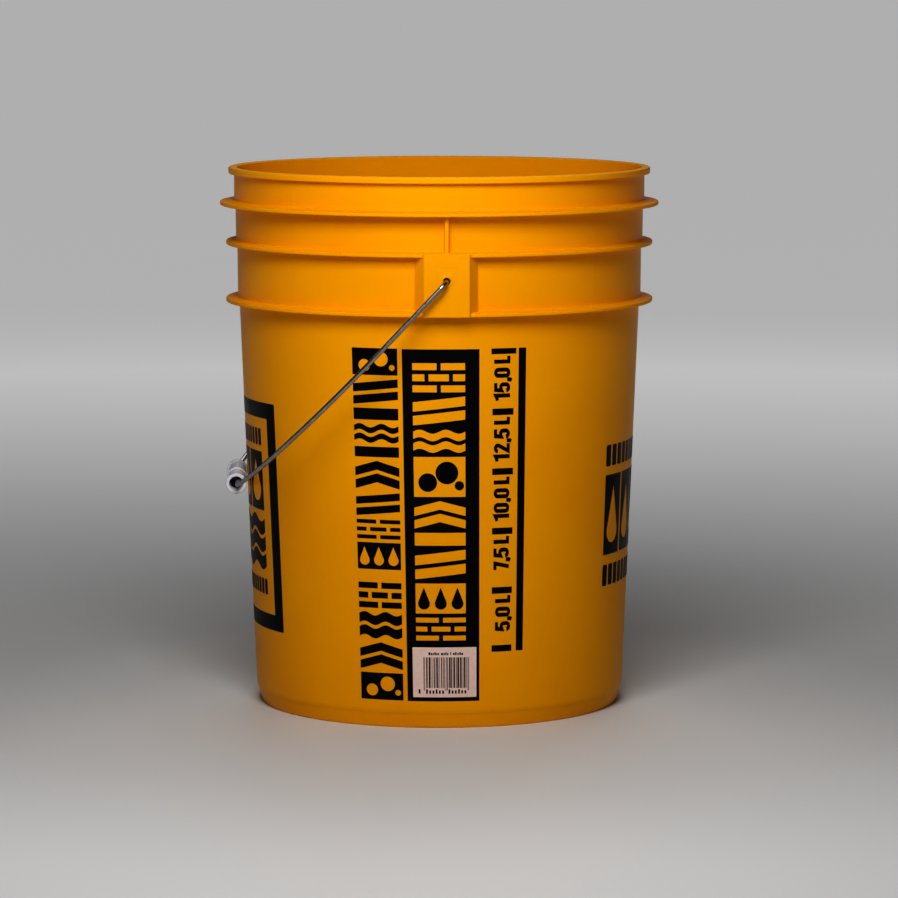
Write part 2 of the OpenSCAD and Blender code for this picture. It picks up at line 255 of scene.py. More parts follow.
def pail_outline():
    """(outline from the axis under the floor, over the rim, to the axis on the floor; the row
    where each rib starts)."""
    foot_ring_r = WALL_R_BASE - FOOT_RING_INSET
    foot_r = WALL_R_BASE - FOOT_INSET
    ring_z = FLOOR_UNDER_Z - UNDER_RING_H
    rows = [(0, 3.5), (1.6, 3.5), (2.2, 3.7), (2.5, FLOOR_UNDER_Z), (12, FLOOR_UNDER_Z)]
    rows += [(29.4, FLOOR_UNDER_Z), (30, ring_z), (31.6, ring_z), (32.2, FLOOR_UNDER_Z),
             (60, FLOOR_UNDER_Z),
             (94.4, FLOOR_UNDER_Z), (95, ring_z), (97, ring_z), (97.6, FLOOR_UNDER_Z)]
    rows += [(foot_ring_r - 1.5, FLOOR_UNDER_Z)]
    rows += arc(foot_ring_r - 1.5, FLOOR_UNDER_Z - 1.5, 1.5, 90, 0, 3)[1:]
    rows += [(foot_ring_r, 0.5), (foot_ring_r + 0.15, 0.15), (foot_ring_r + 0.5, 0)]
    rows += [(foot_r - 0.7, 0), (foot_r - 0.2, 0.12), (foot_r + 0.15, 0.4), (foot_r + 0.4, 0.9)]
    rows += [(foot_r + 1.1, 2.8), (foot_r + 1.85, 5.4), (foot_r + 2.6, 8.2),
             (foot_r + 2.95, 9.9), (foot_r + 3.15, 10.2), (foot_r + 3.45, 10.6),
             (foot_r + 3.8, 12.2), (wall_r(FOOT_H), FOOT_H)]
    rows += wall_rows(FOOT_H, RIB_Z[0] - UNDER_FILLET, wall_r(FOOT_H), wall_r(RIB_Z[0]), WALL_ROWS)
    starts = []
    zones = [(wall_r(RIB_Z[0]), COLLAR_R - 2 * STEP_IN),
             (COLLAR_R - 2 * STEP_IN + COLLAR_DRAFT, COLLAR_R - STEP_IN),
             (COLLAR_R - STEP_IN + COLLAR_DRAFT, COLLAR_R)]
    for i, (below, above) in enumerate(zones):
        starts.append(len(rows))
        rows += rib_rows(i, below, above)
        if i == 0:
            low, high = RIB_Z[0] + RIB_T, RIB_Z[1]
            rows += [(above + COLLAR_DRAFT * (z - low) / (high - low), z) for z in EAR_ROWS]
        elif i == 1:
            rows += wall_rows(rows[-1][1], RIB_Z[2] - UNDER_FILLET, above, above + COLLAR_DRAFT, 6)
    bead_z = HEIGHT - RIM_H
    edge = RIM_UNDER_R
    rows += wall_rows(rows[-1][1], bead_z - edge, COLLAR_R, COLLAR_R, TOP_ROWS)
    rows += [(COLLAR_R, bead_z - edge), (COLLAR_R + 0.25, bead_z - 0.25), (COLLAR_R + edge, bead_z)]
    rows += arc(RIM_R - edge, bead_z + edge, edge, -90, 0, 3)
    rows += arc(RIM_R - RIM_EDGE_R, HEIGHT - RIM_EDGE_R, RIM_EDGE_R, 0, 90, 5)
    rows += arc(MOUTH_R + RIM_EDGE_R, HEIGHT - RIM_EDGE_R, RIM_EDGE_R, 90, 180, 5)
    land_z = RIB_Z[2] - 2
    rows += [(MOUTH_R, z) for z in (375, 366, 357, land_z)]
    for i, z in enumerate((land_z, RIB_Z[1], RIB_Z[0])):
        high = MOUTH_R - i * STEP_IN
        low = high - STEP_IN if i < 2 else wall_r(z - 4) - WALL_T
        if i:
            rows += wall_rows(rows[-1][1], z, high, high, 2) + [(high, z)]
        step = high - low
        rows += [(high - 0.15 * step, z - 1), (high - 0.5 * step, z - 2),
                 (high - 0.85 * step, z - 3), (low, z - 4)]
    corner_z = FLOOR_Z + CORNER_R
    corner_r = wall_r(corner_z) - WALL_T
    rows += wall_rows(RIB_Z[0] - 4, corner_z, rows[-1][0], corner_r, WALL_ROWS)
    rows += arc(corner_r - CORNER_R, corner_z, CORNER_R, 0, -90, 7)
    rows += [(104, FLOOR_Z), (72, FLOOR_Z), (40, FLOOR_Z), (9, FLOOR_Z), (7.5, FLOOR_Z - 0.3),
             (3, FLOOR_Z - 0.3), (0, FLOOR_Z - 0.3)]
    return rows, starts


def ear_outline_y(x):
    """How far out the ear's outline lies at a distance x from its middle."""
    x = abs(x)
    if x <= EAR_FLAT:
        return EAR_Y
    if x <= EAR_FLAT + EAR_CORNER_R * math.sin(EAR_TURN):
        return EAR_Y - EAR_CORNER_R + math.sqrt(EAR_CORNER_R ** 2 - (x - EAR_FLAT) ** 2)
    return EAR_Y - (x - EAR_HALF) * math.tan(EAR_TURN)


def ear_columns():
    """Distances of the ear's columns from its middle, on one side."""
    corner = [EAR_FLAT + EAR_CORNER_R * math.sin(EAR_TURN * i / 4) for i in range(5)]
    return ([0, 0.6, 1.1, 1.3, GUSSET_HALF, 1.47, 1.6, 2.0, 3, 4.5, 6, 7.6]
            + [INSERT_HALF + d for d in (-LINE_EDGE, 0, LINE_EDGE)]
            + [11, POCKET_HALF, 14] + corner
            + [16.1, 16.37, 16.5, 17.2, 18.2, 19.2, 20, 20.6, 21.1, 21.6, 22.2, 23])


def ear_root_blend(x):
    """Outline of the ear with a small fillet where it meets the wall, in the same terms."""
    low, high = 20.0, 22.2
    if not low < abs(x) < high:
        return ear_outline_y(x) if abs(x) <= low else 0.0
    t = (abs(x) - low) / (high - low)
    r = COLLAR_R - 2 * STEP_IN
    start, end = ear_outline_y(low), math.sqrt(r * r - high * high)
    slope0 = -math.tan(EAR_TURN) * (high - low)
    slope1 = -high / end * (high - low)
    h00, h10 = 2 * t ** 3 - 3 * t ** 2 + 1, t ** 3 - 2 * t ** 2 + t
    h01, h11 = -2 * t ** 3 + 3 * t ** 2, t ** 3 - t ** 2
    return h00 * start + h10 * slope0 + h01 * end + h11 * slope1


def gusset_y(x):
    """How far out the upright over the ear lies at a distance x from the middle."""
    x = abs(x)
    wall = COLLAR_R - STEP_IN
    profile = [(0, GUSSET_Y), (1.1, GUSSET_Y), (1.3, GUSSET_Y - 0.08), (GUSSET_HALF, GUSSET_Y - 0.3),
               (1.47, wall + 1.1), (1.6, wall + 0.5), (2.0, 0)]
    for (x0, y0), (x1, y1) in zip(profile, profile[1:]):
        if x <= x1:
            return y0 + (y1 - y0) * (x - x0) / (x1 - x0)
    return 0.0


def build_pail():
    outline, starts = pail_outline()
    ear_first = starts[0] + 2                      # rows from here on may belong to the ear
    ear_last = starts[1] + TIP_ROW + TIP_STEPS
    flat_last = starts[2] + RIB_ROWS - 1           # the ear's columns are upright planes up to here
    ref_r = wall_r(RIB_Z[0]) + UNDER_FILLET        # where the ear's columns leave the wall
    side = ear_columns()
    ear_x = [-x for x in side[:0:-1]] + side
    ear_edge = math.degrees(math.asin(side[-1] / ref_r))

    def between(a, b, step):
        n = max(1, round((b - a) / step))
        return [a + (b - a) * i / n for i in range(1, n)]

    # columns of one half turn: (azimuth, distance from the ear's middle or None)
    half = [(math.degrees(math.asin(x / ref_r)), x) for x in ear_x]
    stops = [ear_edge]
    for p in PARTING_AZ:
        stops += [p - LINE_EDGE, p, p + LINE_EDGE]
    stops.append(180 - ear_edge)
    for a, b in zip(stops, stops[1:]):
        if a != ear_edge:
            half.append((a, None))
        half += [(az, None) for az in between(a, b, WALL_STEP_AZ)]
    columns = [(az + turn, x, turn) for turn in (0, 180) for az, x in half]

    # the ear's face has one height for each row of the outline between its rounded edges
    face_bottom, face_top = RIB_Z[0], RIB_Z[1] + RIB_T
    near_low = [face_bottom + d for d in (1.7, 2.1, 2.4, 2.7, 3.2, 3.8, 4.5)]
    near_high = [face_top - d for d in (3.4, 3.2, 3.0, 2.8, 2.65, 2.5, 2.4, 2.25, 2.05, 1.8)]
    face_z = near_low + EAR_ROWS + near_high

    def ear_point(x, k):
        """(distance out, height) of row k of the ear's outline at distance x."""
        r, z = outline[k]
        y = math.sqrt(r * r - x * x)
        if k < ear_first or k > ear_last:
            if ear_last < k < starts[2] + TIP_ROW:
                y = max(y, gusset_y(x))
            return y, z
        y_ear = ear_root_blend(x)
        tip0, tip1 = starts[0] + TIP_ROW, starts[1] + TIP_ROW
        if k < tip0:                               # underside
            pocket = starts[0] + POCKET_ROW
            if abs(x) <= POCKET_HALF and k in (pocket, pocket + 1):
                y = POCKET_BACK_Y if k == pocket else POCKET_FRONT_Y
            return y, z
        if math.hypot(x, y_ear) < RIB_R[0] - NEAR:     # the ribs stand out past the ear here
            return max(y, y_ear), z
        lean = min(1, max(0, (abs(x) - EAR_HALF) / 1.0))
        edge = EAR_EDGE_R + lean * (RIB_EDGE_R - EAR_EDGE_R)
        half_tip = TIP_STEPS // 2
        if k <= tip0 + half_tip:
            a = math.radians(-90 + 90 * (k - tip0) / half_tip)
            return y_ear - edge + edge * math.cos(a), face_bottom + edge + edge * math.sin(a)
        if k > tip1 + half_tip:
            a = math.radians(90 * (k - tip1 - half_tip - 1) / (half_tip - 1))
            return y_ear - edge + edge * math.cos(a), face_top - edge + edge * math.sin(a)
        z = face_z[k - tip0 - half_tip - 1]
        if abs(x) > FACE_HALF:
            y_ear -= min(FACE_STEP, FACE_SLOPE * (abs(x) - FACE_HALF))
        on_line = (abs(abs(x) - INSERT_HALF) < NEAR and z <= INSERT_Z[1]
                   or abs(x) <= INSERT_HALF and abs(z - INSERT_Z[1]) < NEAR)
        return y_ear - (INSERT_GROOVE if on_line else 0), z

    def point(k, column):
        az, x, turn = column
        r, z = outline[k]
        if x is None or not starts[0] - 1 <= k <= flat_last:
            zone_wall = any(s + RIB_ROWS <= k < e for s, e in
                            ((starts[0], starts[1]), (starts[1], starts[2]),
                             (starts[2], starts[2] + RIB_ROWS + TOP_ROWS)))
            if zone_wall and min(abs(az - turn - p) for p in PARTING_AZ) < NEAR:
                r += PARTING_LINE
            a = math.radians(az)
            return (r * math.sin(a), -r * math.cos(a), z)
        y, z = ear_point(x, k)
        sign = 1 if turn == 0 else -1
        return (sign * x, -sign * y, z)

    def in_insert(k, x0, x1):
        z0, z1 = (ear_point(0, i)[1] for i in (k, k + 1))
        return (max(abs(x0), abs(x1)) <= INNER_HALF + NEAR
                and z0 >= PIVOT_Z - INNER_HALF_H - NEAR and z1 <= PIVOT_Z + INNER_HALF_H + NEAR
                and starts[0] + TIP_ROW < k < starts[1] + TIP_ROW)

    def skip(k, j):
        x0, x1 = columns[j][1], columns[(j + 1) % len(columns)][1]
        if x0 is None or x1 is None:
            return False
        pocket = k == starts[0] + POCKET_ROW and max(abs(x0), abs(x1)) <= POCKET_HALF
        return pocket or in_insert(k, x0, x1)

    pail = Surface()
    pail.grid([[point(k, c) for c in columns] for k in range(len(outline))], wrap=True, skip=skip)
    for turn in (1, -1):
        add_ear_inside(pail, turn, ear_x, face_z)
    return pail.build("pail", sharp=38)


def add_ear_inside(pail, turn, ear_x, face_z):
    """The pocket behind an ear's face, and the hole with its raised lip."""
    xs = [x for x in ear_x if abs(x) <= POCKET_HALF]
    zs = [RIB_Z[0]] + [z for z in face_z if z <= POCKET_TOP_Z + NEAR]

    def at(x, y, z):
        return (turn * x, -turn * y, z)

    def in_square(i, j):
        return (max(abs(xs[j]), abs(xs[j + 1])) <= INNER_HALF + NEAR
                and zs[i] >= PIVOT_Z - INNER_HALF_H - NEAR
                and zs[i + 1] <= PIVOT_Z + INNER_HALF_H + NEAR)

    pail.grid([[at(x, POCKET_FRONT_Y, z) for x in xs] for z in zs], skip=in_square)
    pail.grid([[at(x, POCKET_BACK_Y, z) for x in xs] for z in zs])
    for x in (-POCKET_HALF, POCKET_HALF):
        pail.grid([[at(x, y, z) for y in (POCKET_BACK_Y, POCKET_FRONT_Y)] for z in zs])
    pail.grid([[at(x, y, POCKET_TOP_Z) for x in xs] for y in (POCKET_BACK_Y, POCKET_FRONT_Y)])

    square_x = [x for x in xs if abs(x) <= INNER_HALF + NEAR]
    square_z = [z for z in zs if abs(z - PIVOT_Z) <= INNER_HALF_H + NEAR]
    loop = ([(x, square_z[0]) for x in square_x] + [(INNER_HALF, z) for z in square_z[1:]]
            + [(x, square_z[-1]) for x in square_x[-2::-1]]
            + [(-INNER_HALF, z) for z in square_z[-2:0:-1]])
    loop = [(x, z - PIVOT_Z) for x, z in loop]
    pad_y, lip_y = EAR_Y + PAD_OUT, EAR_Y + LIP_OUT
    rings = [(6.8, EAR_Y), (PAD_R + 0.2, EAR_Y), (PAD_R - 0.05, EAR_Y + 0.08), (PAD_R - 0.35, pad_y),
             (LIP_R + 0.25, pad_y), (LIP_R, pad_y + 0.05), (LIP_R - 0.1, lip_y - 0.15),
             (LIP_R - 0.35, lip_y), (HOLE_R + 0.4, lip_y), (HOLE_R + 0.12, lip_y - 0.1),
             (HOLE_R, lip_y - 0.35), (HOLE_R, POCKET_FRONT_Y + 0.3),
             (HOLE_R + 0.1, POCKET_FRONT_Y), (5.0, POCKET_FRONT_Y)]
    rows = [[at(x, EAR_Y, PIVOT_Z + z) for x, z in loop]]
    for r, y in rings:
        rows.append([at(r * x / math.hypot(x, z), y, PIVOT_Z + r * z / math.hypot(x, z))
                     for x, z in loop])
    rows.append([at(x, POCKET_FRONT_Y, PIVOT_Z + z) for x, z in loop])
    pail.grid(rows, wrap=True)


# ================================================================ bail and grip
def bail_path():
    """The bail's centre line from one end to the other, as (distance from the pivot, y)."""
    arm = (BAIL_C - OUTER_BEND_R, OUTER_BEND_Y)
    reach = BAIL_ARC_R - OUTER_BEND_R
    lean = math.degrees(math.atan2(*arm) - math.acos(reach / math.hypot(*arm)))
    crown_x = BAIL_REACH - CROWN_FILLET_R
    crown_y = math.sqrt((BAIL_ARC_R - CROWN_FILLET_R) ** 2 - (crown_x - BAIL_C) ** 2)
    crown_turn = math.degrees(math.atan2(crown_y, crown_x - BAIL_C))
    hole_y = TAIL_Y + INNER_BEND_R
    half = [(BAIL_REACH, crown_y / 2)]
    half += arc(crown_x, crown_y, CROWN_FILLET_R, 0, crown_turn, 8)
    half += arc(BAIL_C, 0, BAIL_ARC_R, crown_turn, 90 + lean, 70)[1:]
    half += arc(OUTER_BEND_R, OUTER_BEND_Y, OUTER_BEND_R, 90 + lean, 180, 12)
    half += arc(INNER_BEND_R, hole_y, INNER_BEND_R, 180, 270, 9)
    half += [(TAIL_L, TAIL_Y)]
    return [(s, -y) for s, y in reversed(half)] + [(BAIL_REACH, 0)] + half


def build_bail():
    path = bail_path()
    dip = math.atan2(PIVOT_Z - GRIP_Z, -GRIP_X)
    out = Vector((-math.cos(dip), 0, -math.sin(dip)))
    across = Vector((0, 1, 0))
    up = out.cross(across)
    origin = Vector((0, 0, PIVOT_Z))
    points = [origin + out * s + across * y for s, y in path]
    n = len(points)
    tangents = [(points[min(i + 1, n - 1)] - points[max(i - 1, 0)]).normalized() for i in range(n)]
    # both ends are cut square with a small rounded edge
    end = ((0, 0), (0, WIRE_R - 0.35), (0.1, WIRE_R - 0.1), (0.35, WIRE_R))
    rings = [(points[0] + tangents[0] * d, tangents[0], r) for d, r in end]
    rings += [(points[i], tangents[i], WIRE_R) for i in range(1, n - 1)]
    rings += [(points[-1] - tangents[-1] * d, tangents[-1], r) for d, r in reversed(end)]
    count = 28
    wire = Surface()
    rows = []
    for centre, tangent, r in rings:
        normal = up.cross(tangent)
        turns = [2 * math.pi * j / count for j in range(count)]
        rows.append([centre + (up * math.cos(a) + normal * math.sin(a)) * r for a in turns])
    wire.grid(rows, wrap=True)
    return wire.build("bail", sharp=50)


def grip_outline():
    """Half of the grip's outline, from the middle of the bore round its end to the middle
    outside, as (distance along the axis, radius)."""
    flare = 0.5
    edge = 0.35
    flange_w, flange_edge = 3.0, 1.0
    ring_half = 2.6
    rows = [(0, GRIP_BORE_R), (20, GRIP_BORE_R), (GRIP_HALF - 4, GRIP_BORE_R),
            (GRIP_HALF - edge, GRIP_BORE_R + flare), (GRIP_HALF, GRIP_BORE_R + flare + edge)]
    rows += arc(GRIP_HALF - flange_edge, GRIP_R - flange_edge, flange_edge, 0, 90, 5)
    rows += arc(GRIP_HALF - flange_w + 0.7, GRIP_R - 0.7, 0.7, 90, 180, 4)
    rows += arc(GRIP_HALF - flange_w - 0.6, GRIP_WAIST_R + 0.6, 0.6, 0, -90, 4)
    rows += [(30, GRIP_WAIST_R), (18, GRIP_WAIST_R), (8, GRIP_WAIST_R)]
    rows += arc(ring_half + 1.0, GRIP_WAIST_R + 0.5, 0.5, -90, -150, 2)
    rows += arc(ring_half - 0.8, GRIP_RING_R - 0.8, 0.8, 20, 90, 4)
    return rows


def build_grip():
    half = grip_outline()
    outline = [(-a, r) for a, r in half[:0:-1]] + half
    outline.append(outline[0])
    count = 72
    seam, seam_at = 0.05, 9                        # height and column of the moulding lines
    grip = Surface()
    rows = []
    for a, r in outline:
        row = []
        outer = r > GRIP_BORE_R + 1.2 and abs(a) < GRIP_HALF - 0.5
        for j in range(count):
            turn = 2 * math.pi * j / count
            rr = r + (seam if outer and j % (count // 2) == seam_at else 0)
            row.append((GRIP_X + rr * math.cos(turn), a, GRIP_Z + rr * math.sin(turn)))
        rows.append(row)
    grip.grid(rows, wrap=True)
    return grip.build("roller_grip", sharp=45)


# ================================================================ prints, as flat outlines
def area(node):
    """((azimuth, azimuth), (height, height)) that a printed CAD node covers."""
    points = [v.co for v in frame["nodes"][node].data.vertices]
    az = [math.degrees(math.atan2(p.x, -p.y)) for p in points]
    z = [p.z / MM for p in points]
    return (min(az), max(az)), (min(z), max(z))


def rectangle(az, z, r=0.0, mm_per_deg=2.4):
    """Rectangle with rounded corners of r millimetres."""
    if not r:
        return [(az[0], z[0]), (az[1], z[0]), (az[1], z[1]), (az[0], z[1])]
    rx = r / mm_per_deg
    loop = []
    corners = ((az[1] - rx, z[0] + r, -90), (az[1] - rx, z[1] - r, 0),
               (az[0] + rx, z[1] - r, 90), (az[0] + rx, z[0] + r, 180))
    for cx, cz, start in corners:
        for x, y in arc(0, 0, 1, start, start + 90, 4):
            loop.append((cx + x * rx, cz + y * r))
    return loop


def print_piece(name, loops, lift, thick):
    """A thin solid on the wall. Loops nest: every second one is a hole."""
    bm = bmesh.new()
    for loop in loops:
        verts = [bm.verts.new((az, z, 0)) for az, z in loop]
        for a, b in zip(verts, verts[1:] + verts[:1]):
            bm.edges.new((a, b))
    bmesh.ops.triangle_fill(bm, use_beauty=True, edges=bm.edges, normal=(0, 0, 1))
    lo = min(v.co.x for v in bm.verts)
    hi = max(v.co.x for v in bm.verts)
    for i in range(math.ceil(lo / SLICE), math.floor(hi / SLICE) + 1):
        bmesh.ops.bisect_plane(bm, geom=bm.verts[:] + bm.edges[:] + bm.faces[:], dist=1e-5,
                               plane_co=(i * SLICE, 0, 0), plane_no=(1, 0, 0))
    bm.verts.index_update()
    film = Surface()
    film.film(bm, lambda az, z, up: on_wall(az + PRINT_LEAN * (z - PRINT_TRUE_Z), z, lift + up),
              thick)
    bm.free()
    return film.build(name, weld=1e-3)


def strokes(points, width, closed=False):
    """Outline or outlines of a line of some width through points."""
    n = len(points)
    sides = ([], [])
    for i, (x, y) in enumerate(points):
        before = points[i - 1] if i or closed else None
        after = points[(i + 1) % n] if i < n - 1 or closed else None
        dirs = []
        if before:
            dirs.append((x - before[0], y - before[1]))
        if after:
            dirs.append((after[0] - x, after[1] - y))
        normals = [(-dy / math.hypot(dx, dy), dx / math.hypot(dx, dy)) for dx, dy in dirs]
        nx, ny = sum(a for a, _ in normals), sum(b for _, b in normals)
        length = math.hypot(nx, ny)
        nx, ny = nx / length, ny / length
        reach = width / 2 / max(0.35, nx * normals[0][0] + ny * normals[0][1])
        sides[0].append((x + nx * reach, y + ny * reach))
        sides[1].append((x - nx * reach, y - ny * reach))
    if closed:
        return [sides[0], sides[1]]
    return [sides[0] + sides[1][::-1]]


# Bold narrow numerals, one high, drawn as lines of one width and then stretched along the line of
# text, which makes their stems thicker than their bars. Each is (advance, lines).
STROKE, STRETCH = 0.19, 1.25
LOW, TOP, LEFT, RIGHT = STROKE / 2, 1 - STROKE / 2, STROKE / 2, 0.48 - STROKE / 2
MID = (LEFT + RIGHT) / 2
TURN = 0.15                                                 # height of a numeral's round ends


def bowl(cy, ry, start, end, steps=8):
    rx = (RIGHT - LEFT) / 2
    return [(MID + rx * x, cy + ry * y) for x, y in arc(0, 0, 1, start, end, steps)]


GLYPHS = {
    "0": (0.53, [(bowl(TOP - TURN, TURN, 0, 180) + bowl(LOW + TURN, TURN, 180, 360), True)]),
    "1": (0.39, [([(0.0, 0.8), (0.1, 0.82), (0.24, TOP), (0.24, 0)], False)]),
    "2": (0.53, [(bowl(TOP - TURN, TURN, 180, -20) + [(LEFT + 0.02, LOW), (RIGHT + 0.09, LOW)],
                  False)]),
    "5": (0.53, [([(RIGHT + 0.07, TOP), (LEFT + 0.03, TOP), (LEFT, 0.53)]
                  + bowl(0.44, TURN, 110, 0, 5) + bowl(LOW + TURN, TURN, 0, -180), False)]),
    "7": (0.42, [([(LEFT - 0.09, TOP), (RIGHT - 0.06, TOP), (MID - 0.08, 0)], False)]),
    ",": (0.18, [([(0.09, 0.19), (0.09, 0.0), (0.04, -0.09)], False)]),
    " ": (0.15, []),
    "L": (0.36, [([(LEFT, 1), (LEFT, LOW), (0.36, LOW)], False)]),
}


def text_width(text):
    return sum(GLYPHS[c][0] for c in text) * STRETCH


def upright_text(text, az, z_top, height_mm):
    """Outlines of numerals that read upwards and end at z_top. az is (tops, baseline)."""
    scale = az[1] - az[0]
    along = height_mm * STRETCH
    z = z_top - text_width(text) * height_mm
    loops = []
    for c in text:
        advance, lines = GLYPHS[c]
        for points, closed in lines:
            for loop in strokes(points, STROKE, closed):
                loops.append([(az[1] - gy * scale, z + gx * along) for gx, gy in loop])
        z += advance * along
    return loops


def scale_loops():
    """The volume scale: an upright bar, ticks, and the litres beside them."""
    (az0, az1), (z0, z1) = area("volume_scale")
    bar = (21.1, az1)
    tick_h, tick_az = 4.4, (13.4, 19.6)
    top_tick_h, top_tick_end = 3.8, 20.3
    labels = ["", "5,0 L", "7,5 L", "10,0 L", "12,5 L", "15,0 L"]
    pitch = (z1 - z0 - top_tick_h) / (len(labels) - 1)
    tick_sink, first_shift = 0.7, 0.57             # of the ticks down, and of the first text sideways
    text_az, text_h, text_gap = (13.85, 18.56), 11.4, 1.5
    loops = [rectangle(bar, (z0, z1))]
    for i, text in enumerate(labels):
        low = z0 + i * pitch
        if i == len(labels) - 1:
            loops.append(rectangle((az0, top_tick_end), (low, z1)))
        else:
            low -= tick_sink if i else 0
            loops.append(rectangle(tick_az, (low, low + tick_h)))
        if text:
            shift = first_shift if i == 1 else 0
            at = (text_az[0] + shift, text_az[1] + shift)
            loops += upright_text(text, at, low - text_gap, text_h)
    return loops


# ---------------------------------------------------------------- pattern tiles
# Each tile fills w by h millimetres with outlines. None of them is a letter.
TILE_GAP = 2.7


def circle(cu, cv, r, steps=24):
    return arc(cu, cv, r, 0, 360, steps)[:-1]


def drop(u, v, w, h, steps=18):
    """A water drop that stands on v, with its point up."""
    r = w / 2
    turn = math.degrees(math.acos(r / (h - r)))
    return [(u, v + h)] + arc(u, v + r, r, 90 + turn, 450 - turn, steps)


def plain_bar(w, h):
    return [rectangle((0, w), (0, h))]


def pill(w, h):
    return [rectangle((0, w), (0, h), 1.4, 1)]


def slanted_bars(w, h):
    lean = 0.2 * h
    bar = (h - lean - TILE_GAP) / 2
    return [[(0, v), (w, v + lean), (w, v + lean + bar), (0, v + bar)]
            for v in (0, bar + TILE_GAP)]


def chevrons(w, h):
    rise = 0.24 * h
    bar = (h - rise - TILE_GAP) / 2
    return [[(0, v), (w / 2, v + rise), (w, v), (w, v + bar), (w / 2, v + rise + bar), (0, v + bar)]
            for v in (0, bar + TILE_GAP)]


def wave_bars(w, h, bars=2, swing=1.4, waves=2):
    bar = (h - 2 * swing - (bars - 1) * TILE_GAP) / bars
    steps = 12 * waves
    loops = []
    for k in range(bars):
        level = swing + k * (bar + TILE_GAP)
        line = [(w * i / steps, level + swing * math.sin(2 * math.pi * i / 12))
                for i in range(steps + 1)]
        loops.append(line + [(u, v + bar) for u, v in reversed(line)])
    return loops


def bricks(w, h):
    """Three courses of bricks with staggered joints."""
    course = (h - 2 * TILE_GAP) / 3
    loops = []
    for i, joints in enumerate(((0.5,), (0.27, 0.73), (0.5,))):
        v = i * (course + TILE_GAP)
        starts = [0] + [j * w + TILE_GAP / 2 for j in joints]
        ends = [j * w - TILE_GAP / 2 for j in joints] + [w]
        loops += [rectangle((a, b), (v, v + course)) for a, b in zip(starts, ends)]
    return loops


def bubble_block(w, h):
    k = h / 20
    bubbles = ((0.27, 0.36, 4.6), (0.64, 0.6, 5.6), (0.88, 0.28, 2.3))
    return plain_bar(w, h) + [circle(u * w, v * h, r * k) for u, v, r in bubbles]


def drop_block(w, h, drops=3):
    return plain_bar(w, h) + [drop(w * (i + 0.5) / drops, 0.14 * h, 0.7 * w / drops, 0.72 * h)
                              for i in range(drops)]


def place(tile, az, z, **options):
    """A tile's outlines on the wall, between two azimuths and two heights."""
    degree = math.radians(wall_r((z[0] + z[1]) / 2))
    loops = tile((az[1] - az[0]) * degree, z[1] - z[0], **options)
    return [[(az[0] + u / degree, z[0] + v) for u, v in loop] for loop in loops]


def tile_column(az, spans, tiles):
    """Tiles stacked in the given height spans."""
    return [loop for z, tile in zip(spans, tiles) for loop in place(tile, az, z)]


def tile_row(tile, az, z, count, gap, **options):
    """One tile repeated side by side, gap degrees apart."""
    width = (az[1] - az[0] - gap * (count - 1)) / count
    loops = []
    for i in range(count):
        start = az[0] + i * (width + gap)
        loops += place(tile, (start, start + width), z, **options)
    return loops


def spans_of(z, widths, gap):
    """Height spans with the given relative widths."""
    total = z[1] - z[0] - gap * (len(widths) - 1)
    unit = total / sum(widths)
    spans, at = [], z[0]
    for w in widths:
        spans.append((at, at + w * unit))
        at += w * unit + gap
    return spans


def column_loops():
    az, z = area("front_pattern_column")
    low_end, high_start = z[0] + 81.7, z[0] + 91
    low = spans_of((z[0], low_end), [1, 1, 1, 0.95], TILE_GAP)
    high = spans_of((high_start, z[1]), [1, 0.72, 0.87, 1.05, 0.38, 0.72, 0.43, 0.95, 1], TILE_GAP)
    tiles = [bubble_block, chevrons, wave_bars, bricks,
             drop_block, bricks, slanted_bars, chevrons, plain_bar, wave_bars, plain_bar,
             slanted_bars, bubble_block]
    return tile_column(az, low + high, tiles)


def panel_loops():
    az, z = area("front_pattern_panel")
    window_az, window_z = (-9.2, 5.6), (61.8, 253.6)
    spans = spans_of(window_z, [0.8, 1.05, 1.03, 0.45, 0.96, 1.38, 0.8, 1, 1], TILE_GAP)
    tiles = [bricks, drop_block, slanted_bars, plain_bar, chevrons, bubble_block, wave_bars,
             slanted_bars, bricks]
    return [rectangle(az, z)] + tile_column(window_az, spans, tiles)


def left_loops():
    """A frame round a row of drops over waves, between two rows of short bars."""
    az, z = area("left_side_mark")
    bar_az, bar_z, margin_az = 4.6, 11.0, 4.5
    inner_az = (az[0] + bar_az, az[1] - bar_az)
    content_az = (inner_az[0] + margin_az, inner_az[1] - margin_az)
    pills_low, waves_z, drops_z, pills_high = (
        (z[0] + low, z[0] + high)
        for low, high in ((24.3, 35.4), (41.6, 80.6), (84, 125.5), (130, 141.9)))
    pills, pill_gap = 18, 0.75
    loops = [rectangle(az, z, 1.2), rectangle(inner_az, (z[0] + bar_z, z[1] - bar_z), 0.8)]
    loops += tile_row(pill, content_az, pills_low, pills, pill_gap)
    loops += place(wave_bars, content_az, waves_z, bars=3, swing=2.6, waves=4)
    loops += tile_row(drop_block, content_az, drops_z, 4, 1.3, drops=1)
    loops += tile_row(pill, content_az, pills_high, pills, pill_gap)
    return loops


def right_loops():
    """A row of drops between two rows of short bars."""
    az, z = area("right_side_mark")
    bar_h = 15
    drops_z = (z[0] + 22, z[1] - 21.2)
    loops = []
    for low in (z[0], z[1] - bar_h):
        loops += tile_row(pill, az, (low, low + bar_h), 19, 0.9)
    return loops + tile_row(drop_block, az, drops_z, 6, 1.2, drops=1)


def label_loops():
    az, z = area("barcode_label")
    return [rectangle(az, z, 0.4)]


def small_marks(start, z, widths, gap):
    """Short blocks in a row, which stand for small print. A zero is a space."""
    loops = []
    for i, width in enumerate(widths):
        if width:
            top = z[1] - (0.25 * (z[1] - z[0]) if i % 3 else 0)
            loops.append(rectangle((start, start + width), (z[0], top)))
        start += (width or 1.5 * gap) + gap
    return loops


